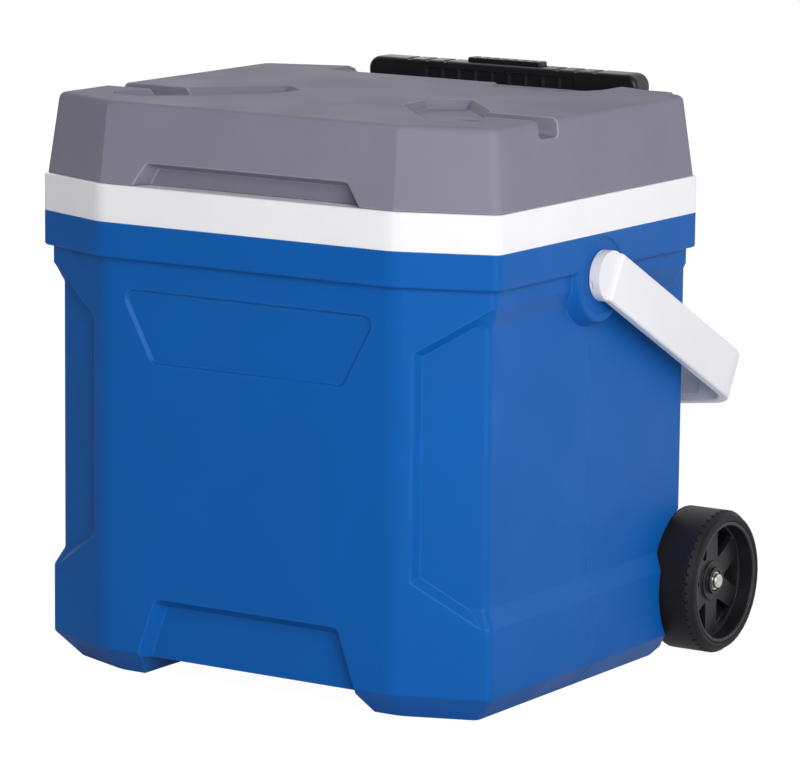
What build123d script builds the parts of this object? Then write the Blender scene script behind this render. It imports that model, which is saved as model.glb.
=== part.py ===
"""Wheeled cooler: foam-filled tub, hinged lid, swing-up bail, two wheels and a two-stage tow handle.

Millimetres, +Z up, +X to the right of someone facing the front, +Y towards the back.
The pieces are laid out about the middle of the tub's plan, with the floor at z = 0.
At the end they all move by ORIGIN_SHIFT, which puts the origin under the middle of the whole cooler.
"""

import math
import os

from build123d import *

os.makedirs("parts", exist_ok=True)

# Body plan: a rectangle with four long flat corners
BODY_W = 372.0
BODY_D = 315.0
CORNER_X = 67.0
CORNER_Y = 26.0
SIDE_CORNER_R = 6.0
FRONT_CORNER_R = 30.0

# Body levels
RIM_Z = 343.0
BAND_TOP_Z = 317.0
BAND_BOTTOM_Z = 292.5
SHOULDER_Z = 281.0
PANEL_TOP_Z = 267.0
PANEL_BOTTOM_Z = 78.0
SKIRT_Z = 66.0
BEVEL_H = 18.0
BEVEL_IN = 16.5

# How far each level stands in from the collar
SHOULDER_IN = 5.0
PANEL_IN = 11.2

# Front face that stays proud of the side panels
FRONT_FACE_HALF = 132.0
FRONT_FACE_TOP = 249.0
FRONT_FACE_BOTTOM = 95.0
FRONT_FLARE_SLOPE = 0.6
FRONT_FLANK_DEG = 50.0
LEVEL_ROUND_R = 4.0
FLANK_EDGE_R = 3.0
FLANK_FOOT_R = 2.0
BAND_EDGE_R = 2.0

# Walls and foam
SHELL_WALL = 2.8
LINER_WALL = 2.6
LID_WALL = 2.6
FOAM_GAP = 0.2

# Food space
CAVITY_W = 274.0
CAVITY_D = 222.0
CAVITY_FLOOR_Z = 58.0
CAVITY_DRAFT = 6.0
CAVITY_CORNER_R = 28.0
CAVITY_FLOOR_R = 12.0
DECK_T = 3.0
LIP_H = 8.0

# Bare name panel on the front
NAME_TOP_Z = 272.0
NAME_BOTTOM_Z = 221.5
NAME_TOP_HALF = 105.0
NAME_BOTTOM_HALF = 78.0
NAME_DEPTH = 2.2

# Recess between the front feet, and the underside
FOOT_TOP_Z = 58.5
FOOT_TOP_HALF = 75.0
FOOT_BOTTOM_HALF = 96.0
FOOT_DEPTH = 9.0
UNDERSIDE_Z = 15.0
UNDERSIDE_BACK_Y = -55.0
FOOT_BACK_Y = -37.0
MID_UNDERSIDE_Z = 4.5
REAR_UNDERSIDE_Z = 11.0
REAR_UNDERSIDE_Y = 60.0
PART_LINE_Y = 5.0
PART_LINE_W = 0.9
PART_LINE_DEPTH = 0.6

# Bail
PIVOT_Y = 2.0
PIVOT_Z = 288.0
BOSS_R = 34.5
BOSS_RING_R = 26.0
BOSS_RING_DEPTH = 1.0
BOSS_GAP = 0.5
HUB_R = 17.5
HUB_T = 4.0
HUB_NOTCH_L = 5.0
HUB_NOTCH_D = 1.2
HUB_NOTCH_T = 1.6
ARM_T = 8.0
BAIL_BAND = 35.0
BAIL_INNER_R = 197.0
BAIL_BOW = 24.5
BAIL_BOW_HALF = 118.0
BAIL_CORNER_R = 24.0
BAIL_REST_DEG = 28.2
BAIL_EDGE_R = 2.2
BAIL_CHANNEL_IN = 5.0
BAIL_CHANNEL_D = 3.0
BAIL_CHANNEL_RUN = 45.0
BAIL_CHANNEL_R = 30.0
STEM_R = 7.0
STEM_LEN = 13.5
NECK_R = 5.5
NECK_LEN = 3.8
RETAINER_R = 8.6
RETAINER_T = 3.0
BUSHING_R = 11.0
BUSHING_END_T = 1.5
RUN_CLEAR = 0.06
SEAT_CLEAR = 0.1
MOVE_CLEAR = 0.4

# Wheels
AXLE_Y = 154.0
AXLE_Z = 51.0
AXLE_R = 4.0
WHEEL_R = 51.0
WHEEL_W = 40.0
WHEEL_OUT_X = 203.5
RIM_R = 43.5
RIM_INNER_R = 40.5
TYRE_SHOULDER = 4.0
TREAD_COUNT = 48
TREAD_H = 0.9
HUB_BOSS_R = 9.8
WINDOW_COUNT = 6
WELL_R = 57.0
WELL_X = 162.0
WASHER_T = 1.2
WASHER_R = 9.0
CAP_R = 5.4
CAP_T = 3.0
CAP_GRIP = 1.8
CAP_SEAT_D = 1.8
OUTER_WASHER_T = 0.8
HUB_SINK = 8.0
WEB_SINK = 12.0
WEB_T = 5.0
WEB_COLLAR = 4.5
WEB_COLLAR_T = 1.5
WINDOW_TIP = 16.5
WINDOW_HALF = 13.0
WINDOW_EDGE = 3.0
SPOKE_RIB_T = 2.2
SPOKE_RIB_D = 16.0
TREAD_NOTCH_W = 2.0
TREAD_NOTCH_L = 6.0

# Tow handle
TUBE_X = 88.0
TUBE_Y = 178.5
OUTER_TUBE_R = 7.6
TUBE_WALL = 0.9
STAGE_GAP = 0.5
OUTER_TUBE_BOTTOM = 46.0
OUTER_TUBE_TOP = 340.0
COLLAR_H = 14.0
COLLAR_OVER = 4.0
COLLAR_WALL = 2.2
STAGE_STEP = 22.0
STAGE_FOOT_STEP = 14.0
GLIDE_RIM_H = 4.0
GLIDE_STUB_H = 8.0
GRIP_HALF = 114.0
GRIP_DEPTH = 21.4
GRIP_BOTTOM_Z = 385.0
GRIP_TOP_Z = 405.0
GRIP_EDGE_R = 4.0
GRIP_WALL = 3.0
GRIP_ROOF = 4.0
GRIP_END_WALL = 16.0
GRIP_RIB_PITCH = 14.2
GRIP_RIB_COUNT = 10
GRIP_RIB_T = 1.5
GRIP_POCKET_H = 9.0
GRIP_POCKET_D = 2.0
GRIP_POCKET_UP = 0.5
GRIP_GROOVES = (47.5, 63.0, 78.5)
GRIP_GROOVE_R = 2.6
GRIP_GROOVE_UP = 1.2
GRIP_JOINT = 0.05
GRIP_SCREW_R = 1.5
GRIP_SCREW_HEAD_R = 3.0
GRIP_SCREW_HEAD_T = 1.6
GRIP_SCREW_SINK = 2.4
GRIP_SCREW_STOP = 4.5
GRIP_SCREW_END_X = 106.0
GRIP_SCREW_MID_X = 44.0
GRIP_SCREW_MID_UP = 4.6
BUTTON_HALF = 31.0
BUTTON_D = 11.0
BUTTON_FLANGE = 2.5
BUTTON_FLANGE_T = 2.5
BUTTON_GROOVE_R = 1.3
BUTTON_GROOVE_PITCH = 8.0
BUTTON_TOP_Z = 408.5
BUTTON_TRAVEL = 3.0
SPRING_WIRE = 0.7
SPRING_R = 4.0
SPRING_COILS = 3
YOKE_T = 2.5
YOKE_D = 6.0
ROD_R = 1.8
PIN_R = 1.5
PIN_L = 4.6
PIN_UP = 12.0
PIN_GAP = 1.0

# Tow brackets
UPPER_BRACKET_Z = 305.0
UPPER_BRACKET_H = 20.0
BRACKET_HALF = 108.0
BRACKET_T = 4.0
CARRIER_TOP_Z = 64.0
CARRIER_FRONT_Y = 140.0
CARRIER_BOTTOM_Z = 32.0
CARRIER_FIT = 0.3
SCREW_R = 2.0
SCREW_HEAD_R = 4.0
SCREW_HEAD_T = 2.2
SCREW_LEN = 14.0
CARRIER_SCREW_LEN = 30.0
CARRIER_DEPTH = 20.0
CARRIER_EDGE_R = 4.0
CARRIER_RECESSES = (-140, -112, -60, -30, 0, 30, 60, 112, 140)
CARRIER_RECESS_W = 18.0
CARRIER_RECESS_D = 4.0
TUBE_FOOT_WALL = 3.4
TUBE_FOOT_UP = 8.0
TUBE_WEB_W = 12.0
CLAMP_WALL = 3.0
CLAMP_WEB_W = 16.0
BRACKET_RIB_T = 2.4
BRACKET_RIB_D = 3.0

# Lid
LID_GAP = 0.3
LID_IN = 1.8
LID_SIDE_R = 8.0
LID_TOP_Z = 399.0
LID_DRAFT = 6.8
LID_ROUND_R = 5.0
LID_FRONT_ROUND_R = 3.0
LID_FRONT_CUT = 5.0
GRASP_TOP_Z = 360.5
GRASP_TOP_HALF = 82.0
GRASP_BOTTOM_HALF = 93.0
GRASP_DEPTH = 15.0
GRASP_TAPER = 22.0
GRASP_CORNER_R = 7.0
POCKET_DEPTH = 6.0
POCKET_TAPER = 40.0
POCKET_CORNER_R = 6.0
POCKET_POINTS = [(116, -114), (141, -112), (150, -98), (120, -38), (76, 9), (50, -12), (54, -46)]
CHANNEL_X = 100.0
CHANNEL_Y = -60.0
CHANNEL_W = 25.0
CHANNEL_FALL = 8.0
CHANNEL_R = 4.0
RELIEF_Z = 393.3
RELIEF_Y = 119.0
RELIEF_HALF = 110.0
FINGER_BAY_X0 = 34.0
FINGER_BAY_X1 = 98.0
FINGER_BAY_D = 26.0
FINGER_BAY_SLANT = 10.0
LID_LINER_T = 2.6
PLUG_DEPTH = 10.0
PLUG_SIDE_GAP = 2.5
PLUG_FRONT_GAP = 5.0

# Lid hinge
HINGE_Y = 157.5
HINGE_Z = 392.0
HINGE_X = 134.0
HINGE_PIN_R = 1.75
KNUCKLE_R = 4.3
KNUCKLE_W = 9.0
HINGE_W = 29.0
HINGE_PLATE_T = 3.0
HINGE_PLATE_BOTTOM = 296.0
HINGE_PLATE_R = 3.0
HINGE_FOOT_TOP = 315.0
HINGE_SCREW_LEN = 24.0
HINGE_SCREW_Z = 305.0
HINGE_RIB_T = 3.0
HINGE_RIB_D = 2.5
LUG_LEN = 26.0

CORNER_TURN = math.atan2(CORNER_Y, CORNER_X)


def octagon(inset, front_more=0.0, side_r=SIDE_CORNER_R, half_w=BODY_W / 2, half_d=BODY_D / 2):
    """The body's plan, moved in by inset all round, with the front moved out by front_more."""
    normal = (math.sin(CORNER_TURN), math.cos(CORNER_TURN))
    reach = normal[0] * half_w + normal[1] * (half_d - CORNER_Y) - inset
    side = half_w - inset
    points = []
    for sy, depth in ((-1, half_d - inset + front_more), (1, half_d - inset)):
        corner_y = (reach - normal[0] * side) / normal[1]
        corner_x = (reach - normal[1] * depth) / normal[0]
        row = [(side, corner_y), (corner_x, depth), (-corner_x, depth), (-side, corner_y)]
        if sy < 0:
            row.reverse()
        points += [(x, sy * y) for x, y in row]
    face = Polygon(*points, align=None)
    side_vertices = [v for v in face.vertices() if abs(abs(v.X) - side) < 0.01]
    face = fillet(side_vertices, side_r)
    front_vertices = [
        v for v in face.vertices()
        if abs(v.Y + half_d - inset + front_more) < 0.01 or abs(v.Y - half_d + inset) < 0.01
    ]
    return fillet(front_vertices, FRONT_CORNER_R)


def level(z, sketch):
    return Pos(0, 0, z) * sketch


def stack(levels, front_more=0.0, side_r=SIDE_CORNER_R):
    """A solid through octagons given as (z, inset), bottom first."""
    body = None
    for (z0, in0), (z1, in1) in zip(levels, levels[1:]):
        if z1 - z0 < 1e-6:
            continue
        if abs(in0 - in1) < 1e-6:
            piece = extrude(level(z0, octagon(in0, front_more, side_r)), z1 - z0)
        else:
            ends = [level(z, octagon(inset, front_more, side_r)) for z, inset in ((z0, in0), (z1, in1))]
            piece = loft(ends, ruled=True)
        body = piece if body is None else body + piece
    return body


def prism_y(points, y0, y1, taper=0.0):
    """Points in XZ, run along Y from y0 to y1."""
    plane = Plane(origin=(0, y0, 0), x_dir=(1, 0, 0), z_dir=(0, -1, 0))
    face = plane * Polygon(*points, align=None)
    return extrude(face, amount=y1 - y0, dir=(0, 1, 0), taper=taper)


def prism_x(points, x0, x1):
    """Points in YZ, run along X from x0 to x1."""
    plane = Plane(origin=(x0, 0, 0), x_dir=(0, 1, 0), z_dir=(1, 0, 0))
    return extrude(plane * Polygon(*points, align=None), amount=x1 - x0)


def rod_x(radius, x0, x1, y, z):
    """A round bar along X."""
    low, high = sorted((x0, x1))
    plane = Plane(origin=(low, y, z), x_dir=(0, 1, 0), z_dir=(1, 0, 0))
    return extrude(plane * Circle(radius), amount=high - low)


def rod_y(radius, y0, y1, x, z):
    low, high = sorted((y0, y1))
    plane = Plane(origin=(x, low, z), x_dir=(1, 0, 0), z_dir=(0, 1, 0))
    return extrude(plane * Circle(radius), amount=high - low)


def rod_z(radius, z0, z1, x, y):
    return Pos(x, y, z0) * extrude(Circle(radius), z1 - z0)


def block(x0, x1, y0, y1, z0, z1):
    return Pos((x0 + x1) / 2, (y0 + y1) / 2, (z0 + z1) / 2) * Box(x1 - x0, y1 - y0, z1 - z0)


def both_sides(solid):
    """The solid and its mirror image across the middle plane."""
    return [solid, mirror(solid, Plane.YZ)]


def corner_cutter(grow, depth):
    """Clears one long corner back to the side panel, with sloping flanks and two cut corners."""
    turn = math.degrees(CORNER_TURN)
    edge_y = -BODY_D / 2 + CORNER_Y * (FRONT_FACE_HALF - BODY_W / 2 + CORNER_X) / CORNER_X
    flank = 1.0 / math.tan(math.radians(FRONT_FLANK_DEG))
    lean = math.hypot(1.0, FRONT_FLARE_SLOPE)
    sections = []
    for out in (8.0, -depth):
        shrink = -out * flank - grow
        left = shrink
        rise = shrink * lean - left * FRONT_FLARE_SLOPE
        run = BODY_W / 2 - FRONT_FACE_HALF + 30.0
        top = FRONT_FACE_TOP - rise
        bottom = FRONT_FACE_BOTTOM + rise
        points = [
            (left, bottom), (run, bottom - (run - left) * FRONT_FLARE_SLOPE),
            (run, top + (run - left) * FRONT_FLARE_SLOPE), (left, top),
        ]
        plane = Plane(
            origin=(FRONT_FACE_HALF, edge_y, 0),
            x_dir=(math.cos(CORNER_TURN), math.sin(CORNER_TURN), 0),
            z_dir=(math.sin(CORNER_TURN), -math.cos(CORNER_TURN), 0),
        )
        start = plane.offset(out - SHOULDER_IN - grow)
        sections.append(start * Polygon(*points, align=None))
    return loft(sections, ruled=True)


def side_cutter(grow, depth):
    """Clears one side back to the side panel, with the same bevels as the tub's levels."""
    top_run = (SHOULDER_Z - PANEL_TOP_Z) / (PANEL_IN - SHOULDER_IN)
    low_run = (PANEL_BOTTOM_Z - SKIRT_Z) / (PANEL_IN - SHOULDER_IN)
    face_x = BODY_W / 2 - SHOULDER_IN - grow
    out = 12.0
    points = [
        (face_x - depth, SKIRT_Z + depth * low_run), (face_x + out, SKIRT_Z - out * low_run),
        (face_x + out, SHOULDER_Z + out * top_run), (face_x - depth, SHOULDER_Z - depth * top_run),
    ]
    return prism_y(points, -BODY_D, 0.0)


def front_slab(grow):
    """What makes the front face proud of the side panels."""
    depth = PANEL_IN - SHOULDER_IN + 5.0
    slab = extrude(level(SKIRT_Z - 4.0, octagon(SHOULDER_IN + grow)), SHOULDER_Z - SKIRT_Z + 8.0)
    slab = slab & block(-BODY_W, BODY_W, -BODY_D, -BODY_D / 2 + CORNER_Y + 24.0, 0, RIM_Z)
    for cutter in both_sides(corner_cutter(grow, depth)) + both_sides(side_cutter(grow, depth)):
        slab = slab - cutter
    return slab


def back_slab(grow):
    """The flush back: it stands out to the collar's plan between the side panels."""
    half = BODY_W / 2 - PANEL_IN - grow
    low, high = SKIRT_Z - 6.0, BAND_BOTTOM_Z + grow + 2 * BAND_EDGE_R
    slab = extrude(level(low, octagon(grow)), high - low)
    slab = slab & block(-half, half, BODY_D / 2 - CORNER_Y - 24.0, BODY_D, 0, RIM_Z)
    if grow:
        return slab
    upright = [e for e in slab.edges().filter_by(Axis.Z) if abs(abs(e.center().X) - half) < 0.01]
    return fillet([e for e in upright if e.center().Y > BODY_D / 2 - CORNER_Y - 12.0], SIDE_CORNER_R)


def body_levels(t):
    """(z, inset) pairs of the tub's outside, or of its hollow when t is the wall."""
    slant = t * math.tan(math.radians(22.5))
    return [
        (t, SHOULDER_IN + BEVEL_IN + slant),
        (BEVEL_H + slant, SHOULDER_IN + t),
        (SKIRT_Z, SHOULDER_IN + t),
        (PANEL_BOTTOM_Z, PANEL_IN + t),
        (PANEL_TOP_Z, PANEL_IN + t),
        (SHOULDER_Z, SHOULDER_IN + t),
        (BAND_BOTTOM_Z + t, SHOULDER_IN + t),
    ]


def fillet_level_loops(solid, heights, radius):
    """Round the closed level edges of a stack at the given heights."""
    edges = [
        e for e in solid.edges()
        if any(
            abs(e.bounding_box().min.Z - z) < 1e-4 and abs(e.bounding_box().max.Z - z) < 1e-4
            for z in heights
        )
    ]
    return fillet(edges, radius)


def corner_offset(point):
    """How far a point stands in from the collar's long corner face, in any of the four corners."""
    normal = Vector(math.sin(CORNER_TURN), math.cos(CORNER_TURN), 0)
    reach = normal.X * BODY_W / 2 + normal.Y * (BODY_D / 2 - CORNER_Y)
    return reach - normal.dot(Vector(abs(point.X), abs(point.Y), 0))


def edges_on_corner_face(solid, inset, x_max):
    """Edges that lie in the four long corner faces at this inset and bound the side recess."""
    found = []
    for edge in solid.edges():
        ends = (edge.position_at(0), edge.position_at(1))
        lies = all(abs(corner_offset(p) - inset) < 0.01 for p in ends)
        low, high = sorted(p.Z for p in ends)
        inside = low > SKIRT_Z + 2.0 and high < SHOULDER_Z - 5.0 and edge.length > 10.0
        if lies and inside and all(abs(p.X) < x_max for p in ends):
            found.append(edge)
    return found


def tub_form(t):
    """The tub's whole outer form, or its hollow when t is the wall."""
    smooth = t == 0
    core = stack(body_levels(t))
    if smooth:
        core = fillet_level_loops(core, [SKIRT_Z, PANEL_BOTTOM_Z, PANEL_TOP_Z, SHOULDER_Z], LEVEL_ROUND_R)
        core = fillet_level_loops(core, [0.0, BEVEL_H], BAND_EDGE_R)
    slab = front_slab(t)
    if smooth:
        slab = fillet(edges_on_corner_face(slab, SHOULDER_IN, FRONT_FACE_HALF + 8.0), FLANK_EDGE_R)
    body = core + slab + back_slab(t)
    if smooth:
        upright = [e for e in edges_on_corner_face(body, PANEL_IN, FRONT_FACE_HALF + 8.0) if e.center().Y < 0]
        body = fillet(upright, FLANK_FOOT_R)
    band_top = BAND_TOP_Z if smooth else BAND_TOP_Z + 1.0
    band = extrude(level(BAND_BOTTOM_Z + t, octagon(t)), band_top - BAND_BOTTOM_Z - t)
    if smooth:
        band = fillet_level_loops(band, [BAND_BOTTOM_Z], BAND_EDGE_R)
    return body + band


def inward_pocket(points, y0, depth, taper, corner_r):
    """A pocket cut from the front: XZ points on the face at y0, going in by depth and narrowing."""
    plane = Plane(origin=(0, y0, 0), x_dir=(1, 0, 0), z_dir=(0, 1, 0))
    face = Polygon(*[(x, -z) for x, z in reversed(points)], align=None)
    face = fillet(face.vertices(), corner_r)
    return extrude(plane * face, amount=depth, taper=taper)


def outline(half_top, half_bottom, z_top, z_bottom):
    return [(-half_bottom, z_bottom), (half_bottom, z_bottom), (half_top, z_top), (-half_top, z_top)]


FRONT_Y = -BODY_D / 2 + SHOULDER_IN
CARRIER_HALF = WHEEL_OUT_X - WHEEL_W - WASHER_T - 3 * SEAT_CLEAR


def tub_cutters(grow):
    """Everything that is cut from the tub's outside, grown for the hollow behind it."""
    name = inward_pocket(
        outline(NAME_TOP_HALF + grow, NAME_BOTTOM_HALF + grow, NAME_TOP_Z + grow, NAME_BOTTOM_Z - grow),
        FRONT_Y, NAME_DEPTH + grow, 40.0, 7.0)
    lean = (FOOT_BOTTOM_HALF - FOOT_TOP_HALF) / FOOT_TOP_Z
    below = 20.0
    between_feet = inward_pocket(
        outline(FOOT_TOP_HALF + grow, FOOT_BOTTOM_HALF + grow + lean * below, FOOT_TOP_Z + grow, -below),
        FRONT_Y, FOOT_DEPTH + grow, 35.0, 6.0)
    arch = prism_y(
        outline(FOOT_BOTTOM_HALF - 8.0 + grow, FOOT_BOTTOM_HALF + grow, UNDERSIDE_Z + grow, -1.0),
        -BODY_D / 2, UNDERSIDE_BACK_Y)
    belly = prism_x([
        (FOOT_BACK_Y - grow, -1.0), (FOOT_BACK_Y - grow, grow), (FOOT_BACK_Y + 17.0, MID_UNDERSIDE_Z + grow),
        (REAR_UNDERSIDE_Y - 35.0, MID_UNDERSIDE_Z + grow), (REAR_UNDERSIDE_Y, REAR_UNDERSIDE_Z + grow),
        (BODY_D, REAR_UNDERSIDE_Z + grow), (BODY_D, -1.0),
    ], -BODY_W, BODY_W)
    back = block(
        -WELL_X - 1.0, WELL_X + 1.0, CARRIER_FRONT_Y - CARRIER_FIT - grow, BODY_D,
        -1.0, CARRIER_TOP_Z + CARRIER_FIT + grow)
    wells = both_sides(rod_x(WELL_R + grow, WELL_X - grow, BODY_W, AXLE_Y, AXLE_Z))
    return [name, between_feet, arch, belly, back] + wells


def part_line():
    """The thin witness line down one side."""
    face_x = BODY_W / 2 - SHOULDER_IN - PART_LINE_DEPTH
    panel_x = BODY_W / 2 - PANEL_IN - PART_LINE_DEPTH
    points = [
        (face_x - BEVEL_IN, 0.0), (face_x, BEVEL_H), (face_x, SKIRT_Z), (panel_x, PANEL_BOTTOM_Z),
        (panel_x, PIVOT_Z - BOSS_R), (BODY_W, PIVOT_Z - BOSS_R), (BODY_W, 0.0),
    ]
    return prism_y(points, PART_LINE_Y - PART_LINE_W / 2, PART_LINE_Y + PART_LINE_W / 2)


def pivot_boss():
    """The lobe round one bail pivot, flush with the blue band and sloping at its edge."""
    panel_x = BODY_W / 2 - PANEL_IN - 3.0
    height = BODY_W / 2 - panel_x
    plane = Plane(origin=(panel_x, PIVOT_Y, PIVOT_Z), x_dir=(0, 1, 0), z_dir=(1, 0, 0))
    lobe = extrude(plane * Circle(BOSS_R + 3.0), amount=height, taper=24.0)
    lobe = lobe & block(0, BODY_W, -BODY_D, BODY_D, 0, BAND_TOP_Z - 4.0)
    rim = [
        e for e in lobe.edges()
        if e.geom_type == GeomType.CIRCLE and abs(e.position_at(0).X - BODY_W / 2) < 0.01
    ]
    lobe = fillet(rim, 2.5)
    dish = rod_x(BOSS_RING_R, BODY_W / 2 - BOSS_RING_DEPTH, BODY_W, PIVOT_Y, PIVOT_Z)
    return lobe, dish


# Screws: x, z and the y of the seat under the head
HINGE_SCREWS = [(sx * (HINGE_X + dx), HINGE_SCREW_Z) for sx in (-1, 1) for dx in (-8.0, 8.0)]
TOW_SCREWS = [(sx * x, UPPER_BRACKET_Z) for sx in (-1, 1) for x in (32.0, 62.0)]
CARRIER_SCREWS = [(sx * x, CARRIER_TOP_Z - 6.0) for sx in (-1, 1) for x in (45.0, 125.0)]
BACK_Y = BODY_D / 2
PLATE_GAP = 0.1


def screw(x, z, seat_y, length):
    """A round-headed screw driven forwards into the back, with a cross slot."""
    head = rod_y(SCREW_HEAD_R, seat_y, seat_y + SCREW_HEAD_T, x, z)
    head = fillet(head.faces().sort_by(Axis.Y)[-1].edges(), SCREW_HEAD_T * 0.6)
    shank = rod_y(SCREW_R, seat_y - length, seat_y, x, z)
    slot_w = 0.9
    cross = block(x - 2.2, x + 2.2, seat_y + 0.9, seat_y + 5, z - slot_w / 2, z + slot_w / 2)
    cross += block(x - slot_w / 2, x + slot_w / 2, seat_y + 0.9, seat_y + 5, z - 2.2, z + 2.2)
    return head + shank - cross


def screw_holes(places, seat_y, length):
    return [rod_y(SCREW_R + SEAT_CLEAR, seat_y - length - SEAT_CLEAR, seat_y + 1.0, x, z) for x, z in places]


HINGE_SEAT_Y = BACK_Y + PLATE_GAP + HINGE_PLATE_T
TOW_SEAT_Y = BACK_Y + PLATE_GAP + BRACKET_T
CARRIER_SEAT_Y = CARRIER_FRONT_Y + CARRIER_DEPTH


def back_screw_holes():
    return (
        screw_holes(HINGE_SCREWS, HINGE_SEAT_Y, HINGE_SCREW_LEN)
        + screw_holes(TOW_SCREWS, TOW_SEAT_Y, SCREW_LEN)
        + screw_holes(CARRIER_SCREWS, CARRIER_SEAT_Y, CARRIER_SCREW_LEN)
    )


BOSS_FACE_X = BODY_W / 2 - BOSS_RING_DEPTH
HUB_IN_X = BOSS_FACE_X + BOSS_GAP
ARM_IN_X = HUB_IN_X + HUB_T
STEM_END_X = HUB_IN_X - STEM_LEN
BUSHING_END_X = STEM_END_X - 2.0 - BUSHING_END_T


def bushing_seats(grow):
    return both_sides(rod_x(BUSHING_R + grow, BUSHING_END_X - grow, BODY_W, PIVOT_Y, PIVOT_Z))


def tub_hollow(t):
    hollow = tub_form(t)
    for cutter in tub_cutters(t):
        hollow = hollow - cutter
    return hollow


def make_outer_shell():
    shell = tub_form(0.0)
    for cutter in tub_cutters(0.0):
        shell = shell - cutter
    lobe, dish = pivot_boss()
    for side in both_sides(lobe):
        shell = shell + side
    shell = shell - tub_hollow(SHELL_WALL)
    for cutter in both_sides(dish) + both_sides(part_line()) + bushing_seats(SEAT_CLEAR) + back_screw_holes():
        shell = shell - cutter
    return shell


def tub_well(grow, top_z):
    """The food space, or the outside of the liner when grown by its wall."""
    floor_z = CAVITY_FLOOR_Z - grow
    width, depth = CAVITY_W + 2 * grow, CAVITY_D + 2 * grow
    high = RectangleRounded(width, depth, CAVITY_CORNER_R + grow)
    low = RectangleRounded(width - 2 * CAVITY_DRAFT, depth - 2 * CAVITY_DRAFT, CAVITY_CORNER_R + grow)
    well = loft([level(floor_z, low), level(RIM_Z, high)], ruled=True)
    well = fillet(well.faces().sort_by(Axis.Z)[0].edges(), CAVITY_FLOOR_R + grow)
    if top_z > RIM_Z:
        well = well + extrude(level(RIM_Z, high), top_z - RIM_Z)
    return well


def make_inner_liner():
    deck = extrude(level(BAND_TOP_Z, octagon(0.0)), RIM_Z - BAND_TOP_Z)
    deck = fillet_level_loops(deck, [RIM_Z], 1.6)
    deck = deck - extrude(level(BAND_TOP_Z, octagon(DECK_T)), RIM_Z - BAND_TOP_Z - DECK_T)
    lip_in = SHELL_WALL + FOAM_GAP
    lip = extrude(level(BAND_TOP_Z - LIP_H, octagon(lip_in)), LIP_H + 4.0)
    lip = lip - extrude(level(BAND_TOP_Z - LIP_H, octagon(lip_in + LINER_WALL)), LIP_H + 4.0)
    liner = deck + lip + tub_well(LINER_WALL, RIM_Z)
    liner = liner - tub_well(0.0, RIM_Z + 5.0)
    mouth = [
        e for e in liner.edges()
        if abs(e.center().Z - RIM_Z) < 0.01
        and abs(e.center().X) < CAVITY_W / 2 + 1 and abs(e.center().Y) < CAVITY_D / 2 + 1
    ]
    return fillet(mouth, 1.2)


def make_wall_foam():
    foam = tub_hollow(SHELL_WALL + FOAM_GAP)
    foam = foam & block(-BODY_W, BODY_W, -BODY_D, BODY_D, 0, BAND_TOP_Z - LIP_H - FOAM_GAP)
    inside_lip = SHELL_WALL + LINER_WALL + 2 * FOAM_GAP
    low = BAND_TOP_Z - LIP_H - FOAM_GAP
    foam = foam + extrude(level(low, octagon(inside_lip)), RIM_Z - DECK_T - FOAM_GAP - low)
    foam = foam - tub_well(LINER_WALL + FOAM_GAP, RIM_Z + 5.0)
    for cutter in bushing_seats(FOAM_GAP) + back_screw_holes():
        foam = foam - cutter
    return foam


def make_bail_bushings():
    """Flanged cups in the shell that the bail's stems turn in."""
    cup = rod_x(BUSHING_R, BUSHING_END_X, BOSS_FACE_X, PIVOT_Y, PIVOT_Z)
    neck_x = STEM_END_X + NECK_LEN
    cup = cup - rod_x(STEM_R + RUN_CLEAR, neck_x, BODY_W, PIVOT_Y, PIVOT_Z)
    chamber_end = BUSHING_END_X + BUSHING_END_T
    cup = cup - rod_x(RETAINER_R + MOVE_CLEAR, chamber_end, neck_x, PIVOT_Y, PIVOT_Z)
    return both_sides(cup)


def make_bail_retainers():
    """Snap rings on the stems, inside the bushings."""
    start = STEM_END_X + MOVE_CLEAR / 2
    ring = ring_x(RETAINER_R, NECK_R + SEAT_CLEAR, start, start + RETAINER_T, PIVOT_Y, PIVOT_Z)
    return both_sides(ring)


def bail_hub(side):
    """The hub between an arm and the tub, with the stem that turns in the bushing."""
    hub = rod_x(HUB_R, side * HUB_IN_X, side * (ARM_IN_X + ARM_T / 2), 0, 0)
    notch = Box(HUB_NOTCH_T, 2 * HUB_NOTCH_D, HUB_NOTCH_L)
    for turn in (45.0, 135.0, 225.0, 315.0):
        angle = math.radians(turn)
        seat = Pos(side * (HUB_IN_X + HUB_NOTCH_T), HUB_R * math.cos(angle), HUB_R * math.sin(angle))
        hub = hub - seat * Rot(turn, 0, 0) * notch
    shoulder_x = STEM_END_X + NECK_LEN + SEAT_CLEAR
    stem = rod_x(STEM_R, side * shoulder_x, side * (HUB_IN_X + HUB_T / 2), 0, 0)
    neck = rod_x(NECK_R, side * STEM_END_X, side * (shoulder_x + NECK_LEN), 0, 0)
    return hub + stem + neck


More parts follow.
